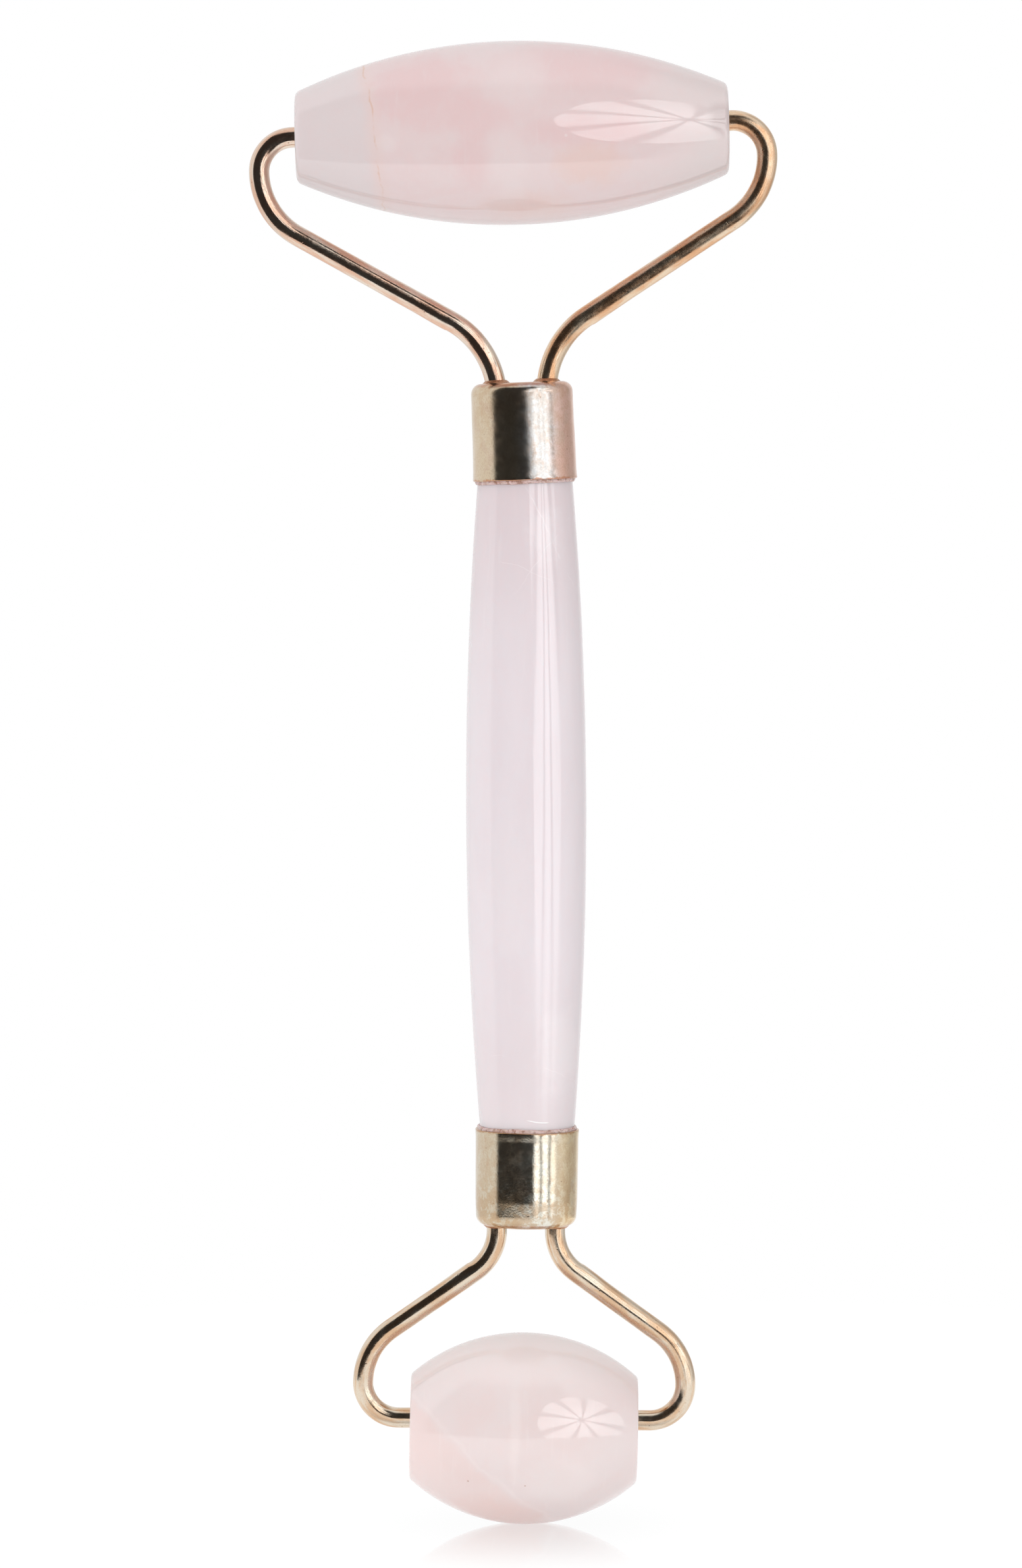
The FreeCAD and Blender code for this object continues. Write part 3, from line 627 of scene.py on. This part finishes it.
def bent_wire_tree():
    """Bends a wire along corner points, each corner rounded to the radius that its own bend attribute
    gives, and leaves a small step on the outside of a bend where the jig's jaw gripped it."""
    tree, given = new_tree("bent_wire", {
        "Wire Radius": ("Float", 0.001),
        "Sides": ("Int", 32),
        "Step": ("Float", 0.00025),
        "Jaw Mark Depth": ("Float", 0.00006),
        "Jaw Mark Place": ("Float", 0.010),
        "Jaw Mark Side": ("Vector", (1.0, 0.0, 0.0)),
        "Unevenness": ("Float", 0.00003),
        "Finish": ("Material", None),
    })
    line = put(tree, "GeometryNodeMeshToCurve", {"Mesh": given["Geometry"]}).outputs[0]
    at = {"Curve": line, "Radius": kept(tree, "bend"), "Count": 48}
    bent = put(tree, "GeometryNodeFilletCurve", at, mode="POLY").outputs[0]
    at = {"Curve": bent, "Length": given["Step"]}
    even = put(tree, "GeometryNodeResampleCurve", at, mode="LENGTH").outputs[0]
    path = stored(tree, even, "along", put(tree, "GeometryNodeSplineParameter").outputs["Length"])
    at = {"Resolution": given["Sides"], "Radius": given["Wire Radius"]}
    ring = put(tree, "GeometryNodeCurvePrimitiveCircle", at).outputs[0]
    ring = stored(tree, ring, "around", put(tree, "GeometryNodeSplineParameter").outputs["Factor"])
    at = {"Curve": path, "Profile Curve": ring, "Fill Caps": True}
    wire = put(tree, "GeometryNodeCurveToMesh", at).outputs[0]

    normal = put(tree, "GeometryNodeInputNormal").outputs[0]
    past = sums(tree, "SUBTRACT", kept(tree, "along"), given["Jaw Mark Place"])
    step = times(tree, ease(tree, past, -0.0001, 0.0002), ease(tree, past, 0.0002, 0.0045, 1.0, 0.0))
    facing = ease(tree, vectors(tree, "DOT_PRODUCT", normal, given["Jaw Mark Side"]), 0.35, 0.95)
    position = put(tree, "GeometryNodeInputPosition").outputs[0]
    swell = sums(tree, "SUBTRACT", noise(tree, position, 420.0, 2.0), 0.5)
    lift = sums(tree, "MULTIPLY_ADD", times(tree, step, facing), given["Jaw Mark Depth"],
                times(tree, swell, given["Unevenness"]))
    offset = put(tree, "ShaderNodeVectorMath", {0: normal, "Scale": lift}, operation="SCALE").outputs[0]
    made = put(tree, "GeometryNodeSetPosition", {"Geometry": wire, "Offset": offset}).outputs[0]
    return close_tree(tree, made, given["Finish"])


TURNED = turned_tree()
BENT_WIRE = bent_wire_tree()


def run_tree(name, tree, points, sizes, place, attributes=None):
    """Runs a tree on a string of points and returns the result as a plain mesh object with its place in its
    mesh."""
    line = bpy.data.meshes.new(name + "_line")
    line.from_pydata([tuple(p) for p in points], [(i, i + 1) for i in range(len(points) - 1)], [])
    for label, numbers in (attributes or {}).items():
        line.attributes.new(label, "FLOAT", "POINT").data.foreach_set("value", numbers)
    maker = bpy.data.objects.new(name + "_maker", line)
    bpy.context.scene.collection.objects.link(maker)
    modifier = maker.modifiers.new("shape", "NODES")
    modifier.node_group = tree
    sockets = {item.name: item.identifier for item in tree.interface.items_tree
               if item.item_type == "SOCKET" and item.in_out == "INPUT"}
    for label, setting in sizes.items():
        modifier[sockets[label]] = setting
    bpy.context.view_layer.update()
    graph = bpy.context.evaluated_depsgraph_get()
    mesh = bpy.data.meshes.new_from_object(maker.evaluated_get(graph), depsgraph=graph)
    maker.modifiers.remove(modifier)
    bpy.data.objects.remove(maker)
    mesh.name = name
    mesh.transform(place)
    shell = bmesh.new()
    shell.from_mesh(mesh)
    bmesh.ops.recalc_face_normals(shell, faces=shell.faces)
    shell.to_mesh(mesh)
    shell.free()
    piece = bpy.data.objects.new(name, mesh)
    bpy.context.scene.collection.objects.link(piece)
    return piece


# Outlines, as (radius, height) in millimetres


def straight(first, last, count):
    return [(first[0] + (last[0] - first[0]) * i / count, first[1] + (last[1] - first[1]) * i / count)
            for i in range(count + 1)]


def rounded(corners, radius_at, fine=8):
    """A polyline with some corners replaced by arcs. radius_at maps a corner's number to its radius."""
    out = []
    for i, corner in enumerate(corners):
        here = Vector(corner)
        if i not in radius_at:
            out.append(corner)
            continue
        before, after = Vector(corners[i - 1]) - here, Vector(corners[(i + 1) % len(corners)]) - here
        half = before.angle(after) / 2
        run = radius_at[i] / math.tan(half)
        first, last = here + before.normalized() * run, here + after.normalized() * run
        inward = (before.normalized() + after.normalized()).normalized()
        centre = here + inward * (radius_at[i] / math.sin(half))
        sweep = math.pi - 2 * half
        for k in range(fine + 1):
            t = k / fine
            a, b = math.sin(sweep * (1 - t)), math.sin(sweep * t)
            spoke = ((first - centre) * a + (last - centre) * b) / math.sin(sweep)
            out.append(tuple(centre + spoke))
    return out


def flipped(outline):
    """The outline's other end, with the height the other way."""
    return [(r, -h) for r, h in outline]


def crowned(half, middle, end, count):
    """The crowned side of a barrel, from -half to half."""
    bulge = middle - end
    crown = (half**2 + bulge**2) / (2 * bulge)
    heights = [half * (2 * i / count - 1) for i in range(count + 1)]
    return [(middle - crown + math.sqrt(crown**2 - h**2), h) for h in heights]


def barrel_outline(barrel):
    """From the foot of one bore, over the outside, to the foot of the other, with rounded edges."""
    half, wall = barrel["length"] / 2, BORE["diameter"] / 2
    side = crowned(half, barrel["middle"] / 2, barrel["end"] / 2, 150)
    edge = barrel["edge"]
    body = [p for p in side if abs(p[1]) < half - 0.9 * edge]
    low = rounded([(wall, -half), side[0], body[0]], {1: edge * 0.92}, 12)[1:-1]
    high = flipped(reversed(low))
    floor = half - BORE["depth"]
    point = floor - wall / math.tan(math.radians(BORE["point"] / 2))
    bore = [(0.0, point), (wall, floor)] + straight((wall, floor), (wall, half), 10)[1:]
    face = straight((wall, half), (high[-1][0], half), 8)[1:-1]
    return flipped(bore) + flipped(face) + low + body + high + face[::-1] + bore[::-1]


def grip_outline():
    half = GRIP["exposed"] / 2 + GRIP["seat"]
    middle, edge = GRIP["middle"] / 2, GRIP["edge"]
    end = middle - GRIP["crown"] + math.sqrt(GRIP["crown"] ** 2 - half**2)
    side = crowned(half, middle, end, 160)
    body = [p for p in side if abs(p[1]) < half - 0.6]
    low = rounded([(0.0, -half), (end, -half), body[0]], {1: edge}, 8)[1:-1]
    face = straight((0.0, -half), (end - edge, -half), 6)[:-1]
    return face + low + body + flipped(reversed(low)) + flipped(reversed(face))


def ferrule_outline(drawn_in):
    """A drawn cup as a closed wall: outside with a slightly rolled mouth, then the inside back to the mouth.
    drawn_in is how far its closed end is drawn in over the last two millimetres before the corner."""
    mouth, end = FERRULE["mouth"] / 2, FERRULE["end"] / 2
    wall, length = FERRULE["wall"], FERRULE["length"]
    floor = length - FERRULE["end_wall"]
    roll, roll_height, longest_step = 0.05, 0.9, 0.35
    outside = rounded([
        (mouth - wall, 0.0), (mouth + roll, 0.0), (mouth, roll_height), (end + drawn_in / 2, length - 2.6),
        (end - drawn_in / 2, length), (0.0, length),
    ], {1: 0.12, 2: 4.0, 3: 12.0, 4: FERRULE["corner"]}, 10)
    inside = rounded([(0.0, floor), (end - wall, floor), (mouth - wall, 0.0)], {1: 0.6}, 6)
    points = []
    for first, last in zip(outside, outside[1:]):
        steps = max(1, round(math.dist(first, last) / longest_step))
        points += straight(first, last, steps)[:-1]
    return points + [outside[-1]] + inside[:-1] + [outside[0]]


def bead_outline(outer, inner, low, high, bulge, count=20):
    """A closed lens-shaped section."""
    middle, reach = ((outer + inner) / 2, (low + high) / 2), ((outer - inner) / 2, (high - low) / 2)
    angles = [2 * math.pi * i / count for i in range(count + 1)]
    return [(middle[0] + reach[0] * math.cos(a) * (1 + bulge * math.sin(a)),
             middle[1] + reach[1] * math.sin(a)) for a in angles]


# Pieces

ALONG_X = Matrix.Rotation(math.pi / 2, 4, "Y")


def turned(name, outline, place, finish, facets, uneven, seed, size=8.0, wavy=0.0):
    points = [(r * MM, 0.0, h * MM) for r, h in outline]
    return run_tree(name, TURNED, points, {
        "Facets": facets,
        "Unevenness": uneven * MM,
        "Swell Size": size * MM,
        "Wavy Edge": wavy * MM,
        "Seed": seed,
        "Finish": FINISHES[finish],
    }, place)


def arm_corners(head):
    """Corner points of a right arm's line, and the bend radius at each, in the head's frame."""
    arm, axle = HEADS[head]["arm"], HEADS[head]["axle"]
    slant = math.radians(arm["slant"])
    run_start = Vector((arm["entry"] + arm["neck_bend"] * (1 - math.sin(slant)),
                        arm["neck"] + arm["neck_bend"] * math.cos(slant)))
    rise = axle - arm["tip"] - arm["shoulder"] * math.cos(slant) - run_start.y
    run_end = run_start + Vector((math.cos(slant), math.sin(slant))) * rise / math.sin(slant)
    outermost = run_end.x + arm["shoulder"] * (1 - math.sin(slant))
    neck = Vector((arm["entry"], run_start.y - (run_start.x - arm["entry"]) * math.tan(slant)))
    shoulder = Vector((outermost, run_start.y + (outermost - run_start.x) * math.tan(slant)))
    tip = HEADS[head]["barrel"]["length"] / 2 - WIRE["tip"]
    corners = [(arm["entry"], wire_foot()), neck, shoulder, (outermost, axle), (tip, axle)]
    return corners, [0.0, arm["neck_bend"], arm["shoulder"], arm["tip"], 0.0]


def wire_foot():
    """How high above its ferrule's mouth a wire's tail starts."""
    return FERRULE["length"] - FERRULE["end_wall"] - WIRE["tail"]


def make_arm(head, side):
    """One arm of a fork. Its jaw mark is on the outside, where the neck's bend ends."""
    corners, bends = arm_corners(head)
    hand = 1 if side == "right" else -1
    arm = HEADS[head]["arm"]
    slant = math.radians(arm["slant"])
    mark = arm["neck"] - wire_foot() + arm["neck_bend"] * (math.pi / 2 - slant)
    points = [(hand * x * MM, 0.0, z * MM) for x, z in corners]
    piece = run_tree(f"{head}_{side}_arm_wire", BENT_WIRE, points, {
        "Wire Radius": WIRE["diameter"] / 2 * MM,
        "Jaw Mark Place": mark * MM,
        "Jaw Mark Side": (hand * math.sin(slant), 0.0, -math.cos(slant)),
        "Finish": FINISHES[f"{head}_{side}_wire"],
    }, head_frame(head), {"bend": [b * MM for b in bends]})
    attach(piece, "grip_and_forks")
    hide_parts(f"{head}_fork_{side}_arm")


def make_brazing(head):
    """A rough little collar where each wire leaves the end wall."""
    foot = FERRULE["length"]
    inner, outer = 0.85, 1.34
    outline = rounded([(inner, foot - 0.35), (outer, foot - 0.35), (outer, foot + 0.03), (1.04, foot + 0.30),
                       (inner, foot + 0.34)], {2: 0.12, 3: 0.10}, 6)
    outline.append(outline[0])
    collars = []
    for number, hand in enumerate((-1, 1)):
        entry = HEADS[head]["arm"]["entry"] + 0.04
        place = head_frame(head) @ Matrix.Translation((hand * entry * MM, 0, 0))
        name = f"{head}_brazing_{number}"
        collars.append(turned(name, outline, place, "filler", 64, 0.07, 3.7 * number, size=0.9))
    first, second = collars
    both = bmesh.new()
    for collar in collars:
        both.from_mesh(collar.data)
    both.to_mesh(first.data)
    both.free()
    bpy.data.objects.remove(second)
    first.name = f"{head}_brazed_joints"
    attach(first, "grip_and_forks")
    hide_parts(f"{head}_fork_braze")


def make_glue(head):
    """The uneven bead squeezed out between the ferrule's mouth and the grip."""
    hand = HAND[f"{head}_bead"]
    outline = bead_outline(outer=4.90, inner=4.52, low=-0.34, high=0.16, bulge=0.2)
    bead = turned(f"{head}_glue_bead", outline, head_frame(head), "glue", 160, **hand, size=0.9,
                  wavy=hand["uneven"] * 1.6)
    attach(bead, "grip_and_forks")
    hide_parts(f"{head}_ferrule_cement")


def make_ferrule(head):
    hand = HAND[f"{head}_cup"]
    cup = turned(f"{head}_drawn_ferrule", ferrule_outline(hand["drawn_in"]), head_frame(head),
                 f"{head}_plate", 160, hand["uneven"], hand["seed"], size=3.4, wavy=0.16)
    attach(cup, "grip_and_forks")
    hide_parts(f"{head}_ferrule")


def move_bores(stone, head):
    """Moves the bores from the barrel's own axis over to the axle, where the bushes sit. The end faces
    stretch with them."""
    barrel = HEADS[head]["barrel"]
    skew, drop = math.radians(barrel["skew"]), barrel["drop"] * MM
    wall, face = BORE["diameter"] / 2 * MM, (barrel["end"] / 2 - barrel["edge"]) * MM
    place = barrel_frame(head)
    back = place.inverted()
    for vertex in stone.data.vertices:
        spot = back @ vertex.co
        share = min(1.0, max(0.0, (face - math.hypot(spot.y, spot.z)) / (face - wall)))
        spot.z += share * ((spot.x - drop * math.sin(skew)) * math.tan(skew) - drop * math.cos(skew))
        vertex.co = place @ spot


def make_barrel(head):
    outline = barrel_outline(HEADS[head]["barrel"])
    place = barrel_frame(head) @ ALONG_X
    hand = HAND[f"{head}_barrel"]
    barrel = turned(f"{head}_stone_barrel", outline, place, f"{head}_stone", 160, **hand, size=9.0)
    move_bores(barrel, head)
    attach(barrel, f"{head}_barrel")
    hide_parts(f"{head}_roller")


def make_grip():
    grip = turned("stone_grip", grip_outline(), Matrix(), "grip_stone", 144, **HAND["grip"])
    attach(grip, "grip_and_forks")
    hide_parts("handle")


def dress_bushes():
    for head in HEADS:
        for side in ("left", "right"):
            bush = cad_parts[f"{head}_roller_{side}_bush"]
            bush.data.materials.clear()
            bush.data.materials.append(FINISHES["nylon"])


# Studio: a round white turntable, a white room with a dark front, and one large ribbed umbrella

WHITE = (1, 1, 1, 1)


def flat_sheet(name, corners, material):
    sheet = bpy.data.meshes.new(name)
    sheet.from_pydata(corners, [], [tuple(range(len(corners)))])
    sheet.materials.append(material)
    made = bpy.data.objects.new(name, sheet)
    bpy.context.scene.collection.objects.link(made)
    return made


def make_turntable():
    """A lit white turntable with a clear, mirror-like top, which shows the barrel standing on it."""
    radius, low, count = 0.160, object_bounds()[0].z, 96
    material, tree = empty_material("lit_white_acrylic")
    x, y, _ = split(tree, local(tree))
    away = sums(tree, "SQRT", sums(tree, "ADD", times(tree, x, x), times(tree, y, y)))
    mirror = ease(tree, away, 0.0, 36.0, 0.61, 0.0)
    scattered = put(tree, "ShaderNodeLightPath").outputs["Is Diffuse Ray"]
    upward = sums(tree, "MULTIPLY_ADD", scattered, ease(tree, away, 10.0, 50.0, 0.30, 0.0), 1.05)
    lit = put(tree, "ShaderNodeEmission", {"Color": WHITE, "Strength": upward}).outputs[0]
    clear = put(tree, "ShaderNodeBsdfGlossy", {"Color": WHITE, "Roughness": 0.03}).outputs[0]
    top = put(tree, "ShaderNodeMixShader", {0: mirror, 1: lit, 2: clear}).outputs[0]
    put(tree, "ShaderNodeOutputMaterial", {"Surface": top})
    angles = [2 * math.pi * i / count for i in range(count)]
    rim = [(radius * math.cos(a), radius * math.sin(a), low) for a in angles]
    table = flat_sheet("turntable", rim, material)


def umbrella_glow(name, near, far, gap, soft, alone):
    """The lit inside of the umbrella: eight bright panels between darker ribs, as bright as near says at its
    hub and as far says at its scalloped border. Where it isn't alone, what is behind it shows through."""
    glow, tree = empty_material(name)
    where = put(tree, "ShaderNodeTexCoord").outputs["Object"]
    hub = away_from(tree, where, (0.0, 0.12, 0.0))
    x, y, _ = split(tree, hub)
    turn = sums(tree, "ARCTAN2", x, y)
    panel = sums(tree, "ABSOLUTE", sums(tree, "SINE", sums(tree, "MULTIPLY_ADD", turn, 4.0, math.pi / 2)))
    reach = vectors(tree, "LENGTH", hub)
    fall, core = ease(tree, reach, 0.15, 0.80, near, far), ease(tree, reach, 0.04, 0.12)
    shine = times(tree, fall, core, ease(tree, panel, 0.20 - soft, 0.60 + soft))
    border = sums(tree, "MULTIPLY_ADD", panel, 0.06, 0.90)
    inside = sums(tree, "LESS_THAN", vectors(tree, "LENGTH", where), border)
    strength = times(tree, inside, sums(tree, "ADD", shine, gap))
    lit = put(tree, "ShaderNodeEmission", {"Color": WHITE, "Strength": strength}).outputs[0]
    clear = put(tree, "ShaderNodeBsdfTransparent").outputs[0]
    if alone:
        shown = put(tree, "ShaderNodeMixShader", {0: inside, 1: clear, 2: lit}).outputs[0]
    else:
        shown = put(tree, "ShaderNodeAddShader", {0: clear, 1: lit}).outputs[0]
    put(tree, "ShaderNodeOutputMaterial", {"Surface": shown})
    return glow


def make_umbrella(name, away, glow):
    """A large ribbed umbrella at the front right. It shows only in reflections."""
    azimuth, rise, half_angle = math.radians(42), math.radians(11), math.radians(33)
    size = away * math.tan(half_angle)
    toward = Vector((math.sin(azimuth) * math.cos(rise), -math.cos(azimuth) * math.cos(rise), math.sin(rise)))
    umbrella = flat_sheet(name, [(-1, -1, 0), (1, -1, 0), (1, 1, 0), (-1, 1, 0)], glow)
    umbrella.location = toward * away
    umbrella.rotation_euler = (-toward).to_track_quat("Z", "Y").to_euler()
    umbrella.scale = (size, size, size)
    for seen in ("camera", "diffuse", "transmission", "volume_scatter", "shadow"):
        setattr(umbrella, "visible_" + seen, False)
    return umbrella


def make_umbrellas():
    """One umbrella that everything shows, and a brighter sheen from the same place that only the polished
    stones do."""
    glow = umbrella_glow("umbrella_glow", near=1.85, far=1.42, gap=0.20, soft=0.10, alone=True)
    make_umbrella("umbrella", 3.0, glow)
    stones = bpy.data.collections.new("polished_stones")
    for name in ("stone_grip", "large_stone_barrel", "small_stone_barrel"):
        stones.objects.link(bpy.data.objects[name])
    glow = umbrella_glow("umbrella_sheen_glow", near=1.6, far=0.9, gap=0.0, soft=0.0, alone=False)
    sheen = make_umbrella("umbrella_sheen", 2.9, glow)
    sheen.light_linking.receiver_collection = stones


def make_room():
    """White overhead and all round but for the dark front, and a little dimmer at the right. The camera
    itself sees plain white."""
    dark, bright_left, bright_right, overhead, dimmed = 0.035, 0.93, 0.92, 0.95, 0.34
    world = bpy.data.worlds.new("white_room")
    world.use_nodes = True
    tree = world.node_tree
    tree.nodes.clear()
    x, y, z = split(tree, put(tree, "ShaderNodeTexCoord").outputs["Generated"])
    azimuth = times(tree, sums(tree, "ARCTAN2", x, times(tree, y, -1.0)), 180 / math.pi)
    left = ease(tree, azimuth, -76.0, -67.0, bright_left, dark)
    right = ease(tree, azimuth, 36.0, 50.0, dark, bright_right)
    dimmer = ease(tree, azimuth, 75.0, 118.0, 0.0, dimmed)
    behind = ease(tree, azimuth, 135.0, 160.0, 1.0, 0.0)
    glow = sums(tree, "SUBTRACT", sums(tree, "MAXIMUM", left, right), times(tree, dimmer, behind))
    glow = sums(tree, "MAXIMUM", glow, ease(tree, z, 0.80, 0.95, 0.0, overhead))
    seen = put(tree, "ShaderNodeLightPath").outputs["Is Camera Ray"]
    shown = blend(tree, seen, joined(tree, glow, glow, glow), (1.0, 1.0, 1.0))
    backdrop = put(tree, "ShaderNodeBackground", {"Color": shown}).outputs[0]
    put(tree, "ShaderNodeOutputWorld", {"Surface": backdrop})
    bpy.context.scene.world = world


def make_fill():
    """Broad soft panels over the camera's shoulders keep the stone evenly lit. They cast no reflections."""
    for name, place, power in (
        ("fill_left", (-0.60, -0.80, 0.10), 3.2),
        ("fill_top", (-0.10, -0.62, 0.55), 2.5),
        ("fill_low", (0.05, -0.95, -0.30), 2.4),
        ("fill_right", (0.75, -0.60, 0.10), 1.0),
    ):
        lamp = bpy.data.lights.new(name, "AREA")
        lamp.shape, lamp.size, lamp.energy = "SQUARE", 0.6, power
        lamp.specular_factor = 0.0
        rig = bpy.data.objects.new(name, lamp)
        rig.location = place
        rig.rotation_euler = (-Vector(place)).to_track_quat("-Z", "Y").to_euler()
        rig.visible_glossy = False
        rig.visible_camera = False
        bpy.context.scene.collection.objects.link(rig)


def make_camera():
    """A long lens, a little above the middle of the grip, looking down by three degrees."""
    tilt, roll = math.radians(90 - 3.2), math.radians(-0.19)
    lens = bpy.data.cameras.new("camera")
    lens.sensor_width, lens.lens = 36.0, 144.2
    lens.clip_start, lens.clip_end = 0.05, 20.0
    camera = bpy.data.objects.new("camera", lens)
    camera.location = (-0.00148, -0.61393, 0.03639)
    look = Euler((tilt, 0, 0)).to_matrix() @ Matrix.Rotation(roll, 3, "Z")
    camera.rotation_euler = look.to_euler()
    bpy.context.scene.collection.objects.link(camera)
    bpy.context.scene.camera = camera


make_grip()
for head in HEADS:
    make_ferrule(head)
    make_glue(head)
    make_brazing(head)
    for side in ("left", "right"):
        make_arm(head, side)
    make_barrel(head)
dress_bushes()
make_turntable()
make_umbrellas()
make_room()
make_fill()
make_camera()
bpy.context.scene.view_settings.view_transform = "Standard"
bpy.context.scene.view_settings.look = "None"
